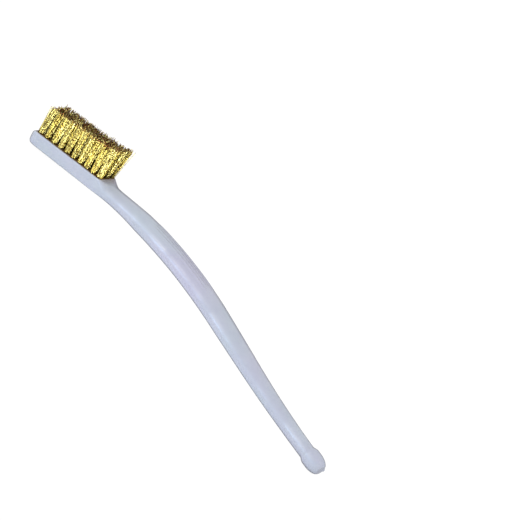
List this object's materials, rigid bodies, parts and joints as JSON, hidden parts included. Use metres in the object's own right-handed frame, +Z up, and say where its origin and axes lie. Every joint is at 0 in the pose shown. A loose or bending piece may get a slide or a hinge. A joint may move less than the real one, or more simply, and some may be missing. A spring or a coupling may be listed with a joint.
{
  "type": "wire brush",
  "caption": "Hand brush with a curved moulded handle, a rounded end knob and rows of crimped brass wire tufts, for cleaning soldering tips.",
  "frame": {"origin": "centre of the footprint of the brush as it lies on the bench, bristles up, at bench height", "axes": "+X from the toe of the head to the end knob, +Y across the brush, +Z up; the brush stands on its toe and its knob, so the tufts point up and a little towards -X"},
  "size_m": [0.1738, 0.0108, 0.0254],
  "materials": {
    "handle_plastic": "satin, slightly translucent pale lavender moulding",
    "brass_wire": "crimped bright brass wire with darker cut tips",
    "anchor_metal": "cut brass strip"
  },
  "bodies": {
    "root": {"handle": "handle_plastic", "anchors": "anchor_metal", "tuft_r1_c01": "brass_wire", "tuft_r1_c02": "brass_wire", "tuft_r1_c03": "brass_wire", "tuft_r1_c04": "brass_wire", "tuft_r1_c05": "brass_wire", "tuft_r1_c06": "brass_wire", "tuft_r1_c07": "brass_wire", "tuft_r1_c08": "brass_wire", "tuft_r1_c09": "brass_wire", "tuft_r1_c10": "brass_wire", "tuft_r2_c01": "brass_wire", "tuft_r2_c02": "brass_wire", "tuft_r2_c03": "brass_wire", "tuft_r2_c04": "brass_wire", "tuft_r2_c05": "brass_wire", "tuft_r2_c06": "brass_wire", "tuft_r2_c07": "brass_wire", "tuft_r2_c08": "brass_wire", "tuft_r2_c09": "brass_wire", "tuft_r2_c10": "brass_wire", "tuft_r3_c01": "brass_wire", "tuft_r3_c02": "brass_wire", "tuft_r3_c03": "brass_wire", "tuft_r3_c04": "brass_wire", "tuft_r3_c05": "brass_wire", "tuft_r3_c06": "brass_wire", "tuft_r3_c07": "brass_wire", "tuft_r3_c08": "brass_wire", "tuft_r3_c09": "brass_wire", "tuft_r3_c10": "brass_wire"}
  },
  "joints": []
}
